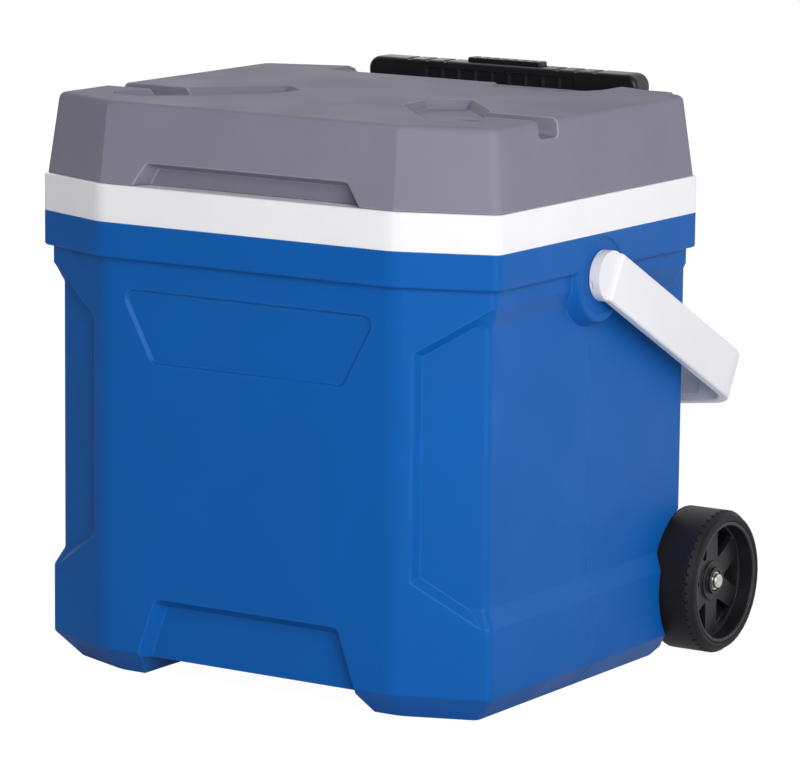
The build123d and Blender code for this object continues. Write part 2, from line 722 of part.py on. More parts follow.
def make_bail_handle():
    """One moulding: two arms, a bowed grip bar, and a hub with its stem at each end."""
    arm_x = ARM_IN_X + ARM_T / 2
    end_y = BAIL_INNER_R + ARM_T / 2
    bow_y = end_y + BAIL_BOW
    path = [
        (arm_x, 0, 0), (arm_x, end_y, 0), (BAIL_BOW_HALF, bow_y, 0),
        (-BAIL_BOW_HALF, bow_y, 0), (-arm_x, end_y, 0), (-arm_x, 0, 0),
    ]
    line = FilletPolyline(*path, radius=BAIL_CORNER_R)
    half = BAIL_BAND / 2
    bail = extrude(level(-half, trace(line, ARM_T)), BAIL_BAND)
    bail = bail & (rod_x(half, -BODY_W, BODY_W, 0, 0) + block(-BODY_W, BODY_W, 0, BODY_D, -half, half))
    long_edges = [
        e for e in bail.edges()
        if abs(abs(e.center().Z) - half) < 0.01 or (abs(e.center().Z) < 0.01 and e.center().Y < 0)
    ]
    bail = fillet(long_edges, BAIL_EDGE_R)
    inner_y = bow_y - ARM_T / 2
    drop = BAIL_CHANNEL_RUN * BAIL_BOW / (arm_x - BAIL_BOW_HALF)
    inner = [
        (BAIL_BOW_HALF + BAIL_CHANNEL_RUN, inner_y - drop, 0), (BAIL_BOW_HALF, inner_y, 0),
        (-BAIL_BOW_HALF, inner_y, 0), (-BAIL_BOW_HALF - BAIL_CHANNEL_RUN, inner_y - drop, 0),
    ]
    groove = trace(FilletPolyline(*inner, radius=BAIL_CHANNEL_R), 2 * BAIL_CHANNEL_D)
    bail = bail - extrude(level(-half + BAIL_CHANNEL_IN, groove), BAIL_BAND - 2 * BAIL_CHANNEL_IN)
    bail = bail + bail_hub(1) + bail_hub(-1)
    return Pos(0, PIVOT_Y, PIVOT_Z) * Rot(-BAIL_REST_DEG, 0, 0) * bail


LID_BASE_Z = RIM_Z + LID_GAP


def lid_half_front(t, z):
    """How far the lid's front face stands from the middle at this height."""
    lean = LID_DRAFT * (z - LID_BASE_Z) / (LID_TOP_Z - LID_BASE_Z)
    return BODY_D / 2 - LID_IN - t - lean


def lid_pockets(grow):
    """The two cup recesses, with a channel that drains each to the lid's side."""
    slope = math.tan(math.radians(POCKET_TAPER))
    floor_z = LID_TOP_Z - POCKET_DEPTH
    face = Polygon(*POCKET_POINTS, align=None)
    face = fillet(face.vertices(), POCKET_CORNER_R)
    floor = offset(face, grow - POCKET_DEPTH * slope)
    cup = extrude(level(floor_z - grow, floor), POCKET_DEPTH + grow + 2.0, taper=-POCKET_TAPER)
    half = CHANNEL_W / 2 + grow
    past = BODY_W / 2 + 5.0
    channel = prism_y([
        (CHANNEL_X, floor_z - grow), (past, floor_z - CHANNEL_FALL - grow),
        (past, LID_TOP_Z + 1.0), (CHANNEL_X, LID_TOP_Z + 1.0),
    ], CHANNEL_Y - half, CHANNEL_Y + half)
    if not grow:
        low_edges = [e for e in channel.edges() if e.center().Z < floor_z and e.length > CHANNEL_W * 2]
        channel = fillet(low_edges, CHANNEL_R)
    return both_sides(cup) + both_sides(channel)


def lid_relief(grow):
    """The lowered strip at the back, with a finger bay, that leaves the tow grip free to be grasped."""
    bay_y = RELIEF_Y - FINGER_BAY_D
    floor = Polygon(
        (-RELIEF_HALF, RELIEF_Y), (FINGER_BAY_X0, RELIEF_Y), (FINGER_BAY_X0 + FINGER_BAY_SLANT, bay_y),
        (FINGER_BAY_X1, bay_y), (RELIEF_HALF, RELIEF_Y), (RELIEF_HALF, BODY_D), (-RELIEF_HALF, BODY_D),
        align=None)
    if grow:
        floor = offset(floor, grow)
    return extrude(level(RELIEF_Z - grow, floor), LID_TOP_Z - RELIEF_Z + 3.0 + grow, taper=-45.0)


def grasp(grow):
    """The finger recess under the lid's front edge."""
    below = 20.0
    lean = (GRASP_BOTTOM_HALF - GRASP_TOP_HALF) / (GRASP_TOP_Z - RIM_Z)
    mouth = outline(
        GRASP_TOP_HALF + grow, GRASP_BOTTOM_HALF + grow + lean * below, GRASP_TOP_Z + grow, RIM_Z - below)
    face_y = -BODY_D / 2 + 1.0
    pocket = inward_pocket(mouth, face_y, GRASP_DEPTH + grow - 1.0, GRASP_TAPER, GRASP_CORNER_R)
    return pocket + prism_y(mouth, -BODY_D, face_y)


def soften_lid_front(body):
    """Round the front face's top edge and its two upright edges."""
    front = sorted(body.faces(), key=lambda f: f.center().Y)[0]
    edges = [e for e in front.edges() if e.center().Z > LID_BASE_Z + 1.0]
    return fillet(edges, LID_FRONT_ROUND_R)


def lid_form(t):
    """The lid's whole outer form, or its hollow when t is the wall."""
    smooth = t == 0
    low = LID_BASE_Z if smooth else LID_BASE_Z - 1.0
    top = LID_TOP_Z - t
    span = LID_TOP_Z - LID_BASE_Z
    levels = [(z, LID_IN + t + LID_DRAFT * (z - LID_BASE_Z) / span) for z in (low, top)]
    body = stack(levels, LID_FRONT_CUT, LID_SIDE_R)
    body = fillet(body.faces().sort_by(Axis.Z)[-1].edges(), LID_ROUND_R - t)
    front = prism_x([
        (-BODY_D, low - 5), (-lid_half_front(t, low - 5), low - 5),
        (-lid_half_front(t, top + 5), top + 5), (-BODY_D, top + 5),
    ], -BODY_W, BODY_W)
    body = body - front
    if smooth:
        body = soften_lid_front(body)
    for cutter in lid_pockets(t) + [lid_relief(t), grasp(t)]:
        body = body - cutter
    return body


def lid_knuckles():
    """Two knuckles a side on the lid's axis, each on a lug that reaches into the lid's back."""
    low, high = HINGE_Z - KNUCKLE_R, HINGE_Z + KNUCKLE_R
    solids = []
    for side in (1, -1):
        for step in (-1, 1):
            near = side * HINGE_X + step * (KNUCKLE_W / 2 + MOVE_CLEAR)
            x0, x1 = sorted((near, near + step * KNUCKLE_W))
            eye = rod_x(KNUCKLE_R, x0, x1, HINGE_Y, HINGE_Z)
            solids.append(eye + block(x0, x1, HINGE_Y - LUG_LEN, HINGE_Y, low, high))
    return solids


def make_lid_shell():
    shell = lid_form(0.0)
    for lug in lid_knuckles():
        shell = shell + lug
    return shell - lid_form(LID_WALL) - rod_x(HINGE_PIN_R + RUN_CLEAR, -BODY_W, BODY_W, HINGE_Y, HINGE_Z)


def plug_block(inward, z0, z1):
    """The plug's plan, moved inward, between two heights."""
    front = -CAVITY_D / 2 + PLUG_FRONT_GAP + inward
    back = CAVITY_D / 2 - PLUG_SIDE_GAP - inward
    half = CAVITY_W / 2 - PLUG_SIDE_GAP - inward
    face = RectangleRounded(2 * half, back - front, CAVITY_CORNER_R - inward)
    return Pos(0, (front + back) / 2, z0) * extrude(face, z1 - z0)


PLUG_BOTTOM_Z = RIM_Z - PLUG_DEPTH
LINER_TOP_Z = LID_BASE_Z + LID_LINER_T


def make_lid_liner():
    """The lid's underside, with a tray that plugs the mouth of the food space."""
    plate = lid_form(LID_WALL + SEAT_CLEAR) & block(-BODY_W, BODY_W, -BODY_D, BODY_D, LID_BASE_Z, LINER_TOP_Z)
    plug = plug_block(0.0, PLUG_BOTTOM_Z, LINER_TOP_Z)
    plug = fillet(plug.faces().sort_by(Axis.Z)[0].edges(), 3.0)
    return plate + plug - plug_block(LID_LINER_T, PLUG_BOTTOM_Z + LID_LINER_T, LINER_TOP_Z + 1.0)


def make_lid_foam():
    low = LINER_TOP_Z + FOAM_GAP
    foam = lid_form(LID_WALL + FOAM_GAP) & block(-BODY_W, BODY_W, -BODY_D, BODY_D, low, LID_TOP_Z)
    return foam + plug_block(LID_LINER_T + FOAM_GAP, PLUG_BOTTOM_Z + LID_LINER_T + FOAM_GAP, low + 2.0)


def make_hinge_brackets():
    """Plates on feet that fit the tub's back corners, rising behind the lid to its axis."""
    y0 = BACK_Y + PLATE_GAP
    y1 = y0 + HINGE_PLATE_T
    left, right = HINGE_X - HINGE_W / 2, HINGE_X + HINGE_W / 2
    plate_top = HINGE_Z - KNUCKLE_R - 2.2
    plate = block(left, right, y0, y1, HINGE_PLATE_BOTTOM, plate_top)
    plate = fillet(plate.edges().filter_by(Axis.Y), HINGE_PLATE_R)
    foot = block(left, right, CARRIER_FRONT_Y, y0 + 0.5, HINGE_PLATE_BOTTOM, HINGE_FOOT_TOP)
    foot = foot - extrude(level(HINGE_PLATE_BOTTOM - 1.0, octagon(-PLATE_GAP)), HINGE_FOOT_TOP)
    half = KNUCKLE_W / 2
    eye = rod_x(KNUCKLE_R, HINGE_X - half, HINGE_X + half, HINGE_Y, HINGE_Z)
    neck = block(HINGE_X - half, HINGE_X + half, y0, y1, plate_top - 5.0, HINGE_Z)
    rib_y = y1 + HINGE_RIB_D
    rib = prism_x([
        (y1 - 0.5, HINGE_FOOT_TOP + 3), (rib_y, HINGE_FOOT_TOP + 11),
        (rib_y, plate_top - 9), (y1 - 0.5, plate_top - 1),
    ], HINGE_X - HINGE_RIB_T / 2, HINGE_X + HINGE_RIB_T / 2)
    bracket = plate + foot + eye + neck + rib
    bracket = bracket - rod_x(HINGE_PIN_R + RUN_CLEAR, 0, BODY_W, HINGE_Y, HINGE_Z)
    for x, z in HINGE_SCREWS:
        bracket = bracket - rod_y(SCREW_R + SEAT_CLEAR, 0, BODY_D, x, z)
    return both_sides(bracket)


def make_hinge_pins():
    reach = KNUCKLE_W * 1.5 + 2 * MOVE_CLEAR
    pin = rod_x(HINGE_PIN_R, HINGE_X - reach, HINGE_X + reach, HINGE_Y, HINGE_Z)
    return both_sides(pin)


def make_screws(places, seat_y, length):
    return [screw(x, z, seat_y, length) for x, z in places]


def onto_axle(solid, side):
    """Take a part made about Z, outer face at z = 0, to one end of the axle line."""
    placed = Pos(WHEEL_OUT_X, AXLE_Y, AXLE_Z) * Rot(0, 90, 0) * solid
    return placed if side > 0 else mirror(placed, Plane.YZ)


def revolve_z(points):
    """Revolve (radius, z) points about Z."""
    return revolve(Plane.XZ * Polygon(*points, align=None), Axis.Z)


def make_tyre(side):
    """The soft tread, with stepped shoulders and small grip notches."""
    w = WHEEL_W
    step = TYRE_SHOULDER
    bore = RIM_R + SEAT_CLEAR
    outer = [(RIM_R + 2.2, 0.0), (WHEEL_R - 3.2, -0.6), (WHEEL_R - 2.6, -2.0), (WHEEL_R - TREAD_H, -step)]
    outer = [(bore, -0.8)] + outer + [(WHEEL_R, -step - 1.2)]
    inner = [(r, -w - z) for r, z in reversed(outer)]
    tyre = revolve_z(outer + inner)
    notch = Box(3.0, TREAD_NOTCH_W, TREAD_NOTCH_L)
    notches = [
        Rot(0, 0, 360.0 * (i + 0.5 * row) / TREAD_COUNT) * Pos(WHEEL_R + 0.4, 0, z) * notch
        for row, z in ((0, -step), (1, -w + step))
        for i in range(TREAD_COUNT)
    ]
    return onto_axle(tyre - notches, side)


def rim_window():
    """One of the triangular openings between the spokes."""
    base = RIM_INNER_R - WINDOW_EDGE
    face = Polygon(
        (WINDOW_TIP, 0), (base, -WINDOW_HALF), (base + 1.8, 0), (base, WINDOW_HALF), align=None)
    return extrude(level(-WHEEL_W, fillet(face.vertices(), 1.6)), WHEEL_W + 5.0)


def make_rim(side):
    """Dished wheel with triangular windows, ribs behind its spokes and a sunk hub."""
    w = WHEEL_W
    lip = 0.8
    rim = revolve_z([
        (RIM_INNER_R, -1.2), (RIM_INNER_R + lip, -0.4), (RIM_R - lip, -0.4), (RIM_R, -1.2),
        (RIM_R, -w + 1.0), (RIM_INNER_R, -w + 1.0),
    ])
    rim = rim + Pos(0, 0, -WEB_SINK - WEB_T) * extrude(Circle(RIM_INNER_R + 1.0), WEB_T)
    rim = rim + Pos(0, 0, -w + SEAT_CLEAR) * extrude(Circle(HUB_BOSS_R), w - HUB_SINK - SEAT_CLEAR)
    rim = rim + Pos(0, 0, -WEB_SINK - 0.1) * extrude(Circle(HUB_BOSS_R + WEB_COLLAR), WEB_COLLAR_T + 0.1)
    turn = 360.0 / WINDOW_COUNT
    rib_from, rib_to = HUB_BOSS_R - 1.0, RIM_INNER_R + 0.5
    rib = Pos((rib_from + rib_to) / 2, 0, -WEB_SINK - WEB_T - SPOKE_RIB_D / 2 + 1.0)
    rib = rib * Box(rib_to - rib_from, SPOKE_RIB_T, SPOKE_RIB_D)
    for i in range(WINDOW_COUNT):
        rim = rim - Rot(0, 0, turn * (i + 0.5)) * rim_window()
    for i in range(WINDOW_COUNT):
        rim = rim + Rot(0, 0, turn * i) * rib
    bore = Pos(0, 0, -w - 1) * extrude(Circle(AXLE_R + SEAT_CLEAR), w + 5)
    seat = Pos(0, 0, -HUB_SINK - CAP_SEAT_D) * extrude(Circle(CAP_R + 1.8), w)
    return onto_axle(rim - bore - seat, side)


HUB_FACE_X = WHEEL_OUT_X - HUB_SINK - CAP_SEAT_D
OUTER_WASHER_X = HUB_FACE_X + MOVE_CLEAR
CAP_X = OUTER_WASHER_X + OUTER_WASHER_T + SEAT_CLEAR


def make_axle():
    half = CAP_X + CAP_GRIP
    axle = rod_x(AXLE_R, -half, half, AXLE_Y, AXLE_Z)
    return chamfer(axle.edges().filter_by(GeomType.CIRCLE), 0.6)


def ring_x(outer, inner, x0, x1, y, z):
    return rod_x(outer, x0, x1, y, z) - rod_x(inner, x0 - 1, x1 + 1, y, z)


def make_wheel_washers():
    """A washer at each face of each wheel."""
    bore = AXLE_R + SEAT_CLEAR
    inner_x = CARRIER_HALF + SEAT_CLEAR
    inner = ring_x(WASHER_R, bore, inner_x, inner_x + WASHER_T, AXLE_Y, AXLE_Z)
    outer = ring_x(CAP_R + 1.0, bore, OUTER_WASHER_X, OUTER_WASHER_X + OUTER_WASHER_T, AXLE_Y, AXLE_Z)
    return both_sides(inner) + both_sides(outer)


def make_axle_caps():
    """Domed push-on nuts at the axle's ends."""
    cap = rod_x(CAP_R, CAP_X, CAP_X + CAP_T, AXLE_Y, AXLE_Z)
    cap = fillet(cap.faces().sort_by(Axis.X)[-1].edges(), 1.6)
    cap = cap - rod_x(AXLE_R + SEAT_CLEAR, CAP_X - 1, CAP_X + CAP_GRIP + SEAT_CLEAR, AXLE_Y, AXLE_Z)
    return both_sides(cap)


MIDDLE_TUBE_R = OUTER_TUBE_R - TUBE_WALL - STAGE_GAP
INNER_TUBE_R = MIDDLE_TUBE_R - TUBE_WALL - STAGE_GAP
MIDDLE_TUBE_BOTTOM = OUTER_TUBE_BOTTOM + STAGE_FOOT_STEP
MIDDLE_TUBE_TOP = OUTER_TUBE_TOP + STAGE_STEP
INNER_TUBE_BOTTOM = MIDDLE_TUBE_BOTTOM + STAGE_FOOT_STEP
GRIP_FLOOR_Z = GRIP_BOTTOM_Z + GRIP_WALL
INNER_TUBE_TOP = GRIP_FLOOR_Z + 3.0
PIN_Z = INNER_TUBE_BOTTOM + PIN_UP


def tube(radius, z0, z1):
    return rod_z(radius, z0, z1, TUBE_X, TUBE_Y) - rod_z(radius - TUBE_WALL, z0 - 1, z1 + 1, TUBE_X, TUBE_Y)


def tube_pair(radius, z0, z1):
    return both_sides(tube(radius, z0, z1))


def collar_pair(tube_r, slide_r, tube_top):
    """Ferrules over a tube's end that guide the next stage."""
    z0, z1 = tube_top - COLLAR_H + COLLAR_OVER, tube_top + COLLAR_OVER
    ring = rod_z(tube_r + COLLAR_WALL, z0, z1, TUBE_X, TUBE_Y)
    ring = fillet(ring.faces().sort_by(Axis.Z)[-1].edges(), 1.2)
    ring = ring - rod_z(tube_r + SEAT_CLEAR, z0 - 1, tube_top + SEAT_CLEAR, TUBE_X, TUBE_Y)
    ring = ring - rod_z(slide_r + SEAT_CLEAR, z0, z1 + 1, TUBE_X, TUBE_Y)
    return both_sides(ring)


def glide_pair(tube_r, bore_r, bottom):
    """Plugs in a tube's lower end, with a rim that runs in the stage outside it."""
    rim = rod_z(tube_r + STAGE_GAP - SEAT_CLEAR, bottom - GLIDE_RIM_H, bottom, TUBE_X, TUBE_Y)
    stub = rod_z(tube_r - TUBE_WALL - SEAT_CLEAR, bottom, bottom + GLIDE_STUB_H, TUBE_X, TUBE_Y)
    bore = rod_z(bore_r, bottom - GLIDE_RIM_H - 1, bottom + GLIDE_STUB_H + 1, TUBE_X, TUBE_Y)
    return both_sides(rim + stub - bore)


def make_inner_tubes():
    hole = rod_x(PIN_R + SEAT_CLEAR, TUBE_X, TUBE_X + OUTER_TUBE_R, TUBE_Y, PIN_Z)
    return both_sides(tube(INNER_TUBE_R, INNER_TUBE_BOTTOM, INNER_TUBE_TOP) - hole)


def make_lock_pins():
    """Pins near the foot of the inner tubes, held in by the stage outside them."""
    reach = INNER_TUBE_R + STAGE_GAP - SEAT_CLEAR
    pin = rod_x(PIN_R, TUBE_X + reach - PIN_L, TUBE_X + reach, TUBE_Y, PIN_Z)
    pin = pin & rod_z(reach, PIN_Z - 2 * PIN_R, PIN_Z + 2 * PIN_R, TUBE_X, TUBE_Y)
    return both_sides(pin)


def make_axle_carrier():
    """Moulded cross piece under the back: holds the axle and the feet of the tow tubes."""
    low = CARRIER_BOTTOM_Z + CARRIER_EDGE_R
    half = CARRIER_HALF
    body = block(-half, half, CARRIER_FRONT_Y, CARRIER_SEAT_Y, CARRIER_BOTTOM_Z, CARRIER_TOP_Z)
    body = fillet(body.edges().filter_by(Axis.X), CARRIER_EDGE_R)
    for x in (TUBE_X, -TUBE_X):
        foot = rod_z(OUTER_TUBE_R + TUBE_FOOT_WALL, low, CARRIER_TOP_Z + TUBE_FOOT_UP, x, TUBE_Y)
        web = block(
            x - TUBE_WEB_W / 2, x + TUBE_WEB_W / 2, CARRIER_SEAT_Y - 6, TUBE_Y, low, CARRIER_TOP_Z - 2)
        body = body + foot + web
    recess_top = CARRIER_SCREWS[0][1] - SCREW_HEAD_R - 4.0
    for x in CARRIER_RECESSES:
        reach = CARRIER_RECESS_W / 2
        body = body - block(
            x - reach, x + reach, CARRIER_SEAT_Y - CARRIER_RECESS_D, CARRIER_SEAT_Y + 1, low, recess_top)
    body = body - rod_x(AXLE_R + SEAT_CLEAR, -BODY_W, BODY_W, AXLE_Y, AXLE_Z)
    for x in (TUBE_X, -TUBE_X):
        body = body - rod_z(OUTER_TUBE_R + SEAT_CLEAR, OUTER_TUBE_BOTTOM - SEAT_CLEAR, RIM_Z, x, TUBE_Y)
    for x, z in CARRIER_SCREWS:
        body = body - rod_y(SCREW_R + SEAT_CLEAR, 0, BODY_D, x, z)
    return body


def make_tow_bracket():
    """Upper clamp bar for the tow tubes, screwed to the blue band."""
    y0 = BACK_Y + PLATE_GAP
    y1 = y0 + BRACKET_T
    z0, z1 = UPPER_BRACKET_Z - UPPER_BRACKET_H / 2, UPPER_BRACKET_Z + UPPER_BRACKET_H / 2
    plate = block(-BRACKET_HALF, BRACKET_HALF, y0, y1, z0, z1)
    plate = fillet(plate.edges().filter_by(Axis.Y), 5.0)
    rib_half = BRACKET_RIB_T / 2
    rib = block(
        -TUBE_X, TUBE_X, y1 - 0.5, y1 + BRACKET_RIB_D, UPPER_BRACKET_Z - rib_half, UPPER_BRACKET_Z + rib_half)
    for x, z in TOW_SCREWS:
        rib = rib - rod_y(SCREW_HEAD_R + 1.5, y0, BODY_D, x, z)
    plate = plate + rib
    for x in (TUBE_X, -TUBE_X):
        clamp = rod_z(OUTER_TUBE_R + CLAMP_WALL, z0, z1, x, TUBE_Y)
        web = block(x - CLAMP_WEB_W / 2, x + CLAMP_WEB_W / 2, y0 + 0.5, TUBE_Y, z0, z1)
        plate = plate + clamp + web - rod_z(OUTER_TUBE_R + SEAT_CLEAR, z0 - 1, z1 + 1, x, TUBE_Y)
    for x, z in TOW_SCREWS:
        plate = plate - rod_y(SCREW_R + SEAT_CLEAR, 0, BODY_D, x, z)
    return plate


GRIP_FRONT_Y = TUBE_Y - GRIP_DEPTH / 2
GRIP_BACK_Y = TUBE_Y + GRIP_DEPTH / 2
GRIP_MID_Z = (GRIP_TOP_Z + GRIP_BOTTOM_Z) / 2
CHAMBER_HALF_Y = GRIP_DEPTH / 2 - GRIP_WALL - 1.0
CHAMBER_TOP_Z = GRIP_TOP_Z - GRIP_ROOF
BUTTON_LOW_Z = CHAMBER_TOP_Z - BUTTON_FLANGE_T - SEAT_CLEAR
YOKE_TOP_Z = BUTTON_LOW_Z - SEAT_CLEAR / 2
GRIP_SCREWS = [
    (side * x, z)
    for side in (-1, 1)
    for x, z in ((GRIP_SCREW_END_X, GRIP_MID_Z), (GRIP_SCREW_MID_X, GRIP_BOTTOM_Z + GRIP_SCREW_MID_UP))
]


def grip_form():
    """The grip's outer form: a rounded bar with grooves across its top."""
    height = GRIP_TOP_Z - GRIP_BOTTOM_Z
    plane = Plane(origin=(0, GRIP_FRONT_Y, GRIP_MID_Z), x_dir=(1, 0, 0), z_dir=(0, 1, 0))
    grip = extrude(plane * RectangleRounded(2 * GRIP_HALF, height, height / 2 - 0.6), GRIP_DEPTH)
    grip = fillet(grip.edges(), GRIP_EDGE_R)
    groove = Rot(90, 0, 0) * Cylinder(GRIP_GROOVE_R, GRIP_DEPTH + 2)
    for x in GRIP_GROOVES:
        for side in (1, -1):
            grip = grip - Pos(side * x, TUBE_Y, GRIP_TOP_Z + GRIP_GROOVE_UP) * groove
    return grip


def finger_pockets():
    """The row of pockets in the grip's front, with a thin rib between each two."""
    first = -(GRIP_RIB_COUNT - 1) / 2 * GRIP_RIB_PITCH
    face = RectangleRounded(GRIP_RIB_PITCH - GRIP_RIB_T, GRIP_POCKET_H, 2.0)
    cuts = []
    for i in range(GRIP_RIB_COUNT - 1):
        origin = (first + (i + 0.5) * GRIP_RIB_PITCH, GRIP_FRONT_Y - 1.0, GRIP_MID_Z + GRIP_POCKET_UP)
        plane = Plane(origin=origin, x_dir=(1, 0, 0), z_dir=(0, 1, 0))
        cuts.append(extrude(plane * face, GRIP_POCKET_D + 1.0))
    return cuts


def grip_chamber():
    """The space inside the grip for the button, its spring and the yoke."""
    half = GRIP_HALF - GRIP_END_WALL
    room = block(-half, half, TUBE_Y - CHAMBER_HALF_Y, TUBE_Y + CHAMBER_HALF_Y, GRIP_FLOOR_Z, CHAMBER_TOP_Z)
    mouth_x = BUTTON_HALF + MOVE_CLEAR
    mouth_y = BUTTON_D / 2 + MOVE_CLEAR
    room = room + block(-mouth_x, mouth_x, TUBE_Y - mouth_y, TUBE_Y + mouth_y, GRIP_MID_Z, GRIP_TOP_Z + 5)
    for x in (TUBE_X, -TUBE_X):
        room = room + rod_z(INNER_TUBE_R + SEAT_CLEAR, GRIP_BOTTOM_Z - 2, GRIP_FLOOR_Z + 1, x, TUBE_Y)
    return room


def grip_half(front):
    """One half of the grip; the screws come in from the back half."""
    form = grip_form() - grip_chamber()
    for x, z in GRIP_SCREWS:
        form = form + rod_y(GRIP_SCREW_R + 1.1, GRIP_FRONT_Y + 2.5, GRIP_BACK_Y - 2.5, x, z)
    if front:
        half = form & block(-BODY_W, BODY_W, 0, TUBE_Y - GRIP_JOINT, 0, 2 * GRIP_TOP_Z)
        for cut in finger_pockets():
            half = half - cut
    else:
        half = form & block(-BODY_W, BODY_W, TUBE_Y + GRIP_JOINT, BODY_D, 0, 2 * GRIP_TOP_Z)
    for x, z in GRIP_SCREWS:
        half = half - rod_y(GRIP_SCREW_R + SEAT_CLEAR, GRIP_FRONT_Y + GRIP_SCREW_STOP - 0.5, BODY_D, x, z)
        half = half - rod_y(GRIP_SCREW_HEAD_R + 0.2, GRIP_BACK_Y - GRIP_SCREW_SINK, BODY_D, x, z)
    return half


def make_grip_screws():
    screws = []
    seat = GRIP_BACK_Y - GRIP_SCREW_SINK + SEAT_CLEAR / 2
    head_end = seat + GRIP_SCREW_HEAD_T
    for x, z in GRIP_SCREWS:
        body = rod_y(GRIP_SCREW_HEAD_R, seat, head_end, x, z)
        body = body + rod_y(GRIP_SCREW_R, GRIP_FRONT_Y + GRIP_SCREW_STOP, seat, x, z)
        screws.append(body - block(x - 2, x + 2, head_end - 0.8, head_end + 1, z - 0.4, z + 0.4))
    return screws


def make_release_button():
    """The ribbed push pad, with a flange that stops it inside the grip."""
    half_d = BUTTON_D / 2
    cap = block(-BUTTON_HALF, BUTTON_HALF, TUBE_Y - half_d, TUBE_Y + half_d, BUTTON_LOW_Z, BUTTON_TOP_Z)
    cap = fillet(cap.edges().filter_by(Axis.Z), 2.0)
    cap = fillet(cap.faces().sort_by(Axis.Z)[-1].edges(), 1.2)
    flange_x = BUTTON_HALF + BUTTON_FLANGE
    flange_y = CHAMBER_HALF_Y - MOVE_CLEAR
    flange_top = BUTTON_LOW_Z + BUTTON_FLANGE_T
    button = cap + block(
        -flange_x, flange_x, TUBE_Y - flange_y, TUBE_Y + flange_y, BUTTON_LOW_Z, flange_top)
    groove = Rot(90, 0, 0) * Cylinder(BUTTON_GROOVE_R, BUTTON_D + 2)
    count = int(BUTTON_HALF / BUTTON_GROOVE_PITCH)
    for i in range(-count, count + 1):
        button = button - Pos(i * BUTTON_GROOVE_PITCH, TUBE_Y, BUTTON_TOP_Z + BUTTON_GROOVE_R / 2) * groove
    return button


def make_release_yoke():
    """A bar under the button with two rods that run down to the lock pins."""
    reach = TUBE_X + YOKE_D / 2
    half = YOKE_D / 2
    yoke = block(-reach, reach, TUBE_Y - half, TUBE_Y + half, YOKE_TOP_Z - YOKE_T, YOKE_TOP_Z)
    rod_end = PIN_Z + PIN_R + BUTTON_TRAVEL + PIN_GAP
    for x in (TUBE_X, -TUBE_X):
        yoke = yoke + rod_z(ROD_R, rod_end, YOKE_TOP_Z - YOKE_T / 2, x, TUBE_Y)
    return yoke


def make_button_spring():
    """The coil between the grip's floor and the yoke."""
    low = GRIP_FLOOR_Z + SPRING_WIRE
    height = YOKE_TOP_Z - YOKE_T - SPRING_WIRE - low
    coil = Helix(pitch=height / SPRING_COILS, height=height, radius=SPRING_R - SPRING_WIRE)
    start = Plane(origin=coil @ 0, z_dir=coil % 0)
    return Pos(0, TUBE_Y, low) * sweep(start * Circle(SPRING_WIRE / 2), path=coil)


PIECES = {
    "outer_shell": make_outer_shell,
    "inner_liner": make_inner_liner,
    "wall_foam": make_wall_foam,
    "bail_bushings": make_bail_bushings,
    "bail_retainers": make_bail_retainers,
    "bail_handle": make_bail_handle,
    "lid_shell": make_lid_shell,
    "lid_liner": make_lid_liner,
    "lid_foam": make_lid_foam,
    "hinge_brackets": make_hinge_brackets,
    "hinge_pins": make_hinge_pins,
    "hinge_screws": lambda: make_screws(HINGE_SCREWS, HINGE_SEAT_Y, HINGE_SCREW_LEN),
    "axle": make_axle,
    "axle_carrier": make_axle_carrier,
    "axle_caps": make_axle_caps,
    "wheel_washers": make_wheel_washers,
    "carrier_screws": lambda: make_screws(CARRIER_SCREWS, CARRIER_SEAT_Y, CARRIER_SCREW_LEN),
    "wheel_rim_right": lambda: make_rim(1),
    "wheel_rim_left": lambda: make_rim(-1),
    "wheel_tyre_right": lambda: make_tyre(1),
    "wheel_tyre_left": lambda: make_tyre(-1),
    "tow_bracket": make_tow_bracket,
    "tow_bracket_screws": lambda: make_screws(TOW_SCREWS, TOW_SEAT_Y, SCREW_LEN),
    "tow_outer_tubes": lambda: tube_pair(OUTER_TUBE_R, OUTER_TUBE_BOTTOM, OUTER_TUBE_TOP),
    "tow_outer_collars": lambda: collar_pair(OUTER_TUBE_R, MIDDLE_TUBE_R, OUTER_TUBE_TOP),
    "tow_middle_tubes": lambda: tube_pair(MIDDLE_TUBE_R, MIDDLE_TUBE_BOTTOM, MIDDLE_TUBE_TOP),
    "tow_middle_collars": lambda: collar_pair(MIDDLE_TUBE_R, INNER_TUBE_R, MIDDLE_TUBE_TOP),
    "tow_middle_glides": lambda: glide_pair(MIDDLE_TUBE_R, INNER_TUBE_R * 0.5, MIDDLE_TUBE_BOTTOM),
    "tow_inner_tubes": make_inner_tubes,
    "tow_inner_glides": lambda: glide_pair(INNER_TUBE_R, ROD_R, INNER_TUBE_BOTTOM),
    "lock_pins": make_lock_pins,
    "grip_front": lambda: grip_half(True),
    "grip_rear": lambda: grip_half(False),
    "grip_screws": make_grip_screws,
    "release_button": make_release_button,
    "release_yoke": make_release_yoke,
    "button_spring": make_button_spring,
}

# At rest the whole cooler reaches from the tub's front to the bail's bar, which hangs behind
REST_TURN = math.radians(BAIL_REST_DEG)
BAIL_OUTER_R = BAIL_INNER_R + BAIL_BOW + ARM_T
BAIL_REACH_Y = (
    PIVOT_Y + (BAIL_OUTER_R - BAIL_EDGE_R) * math.cos(REST_TURN)
    + (BAIL_BAND / 2 - BAIL_EDGE_R) * math.sin(REST_TURN) + BAIL_EDGE_R
)
ORIGIN_SHIFT = Pos(0, (BODY_D / 2 - BAIL_REACH_Y) / 2, 0)

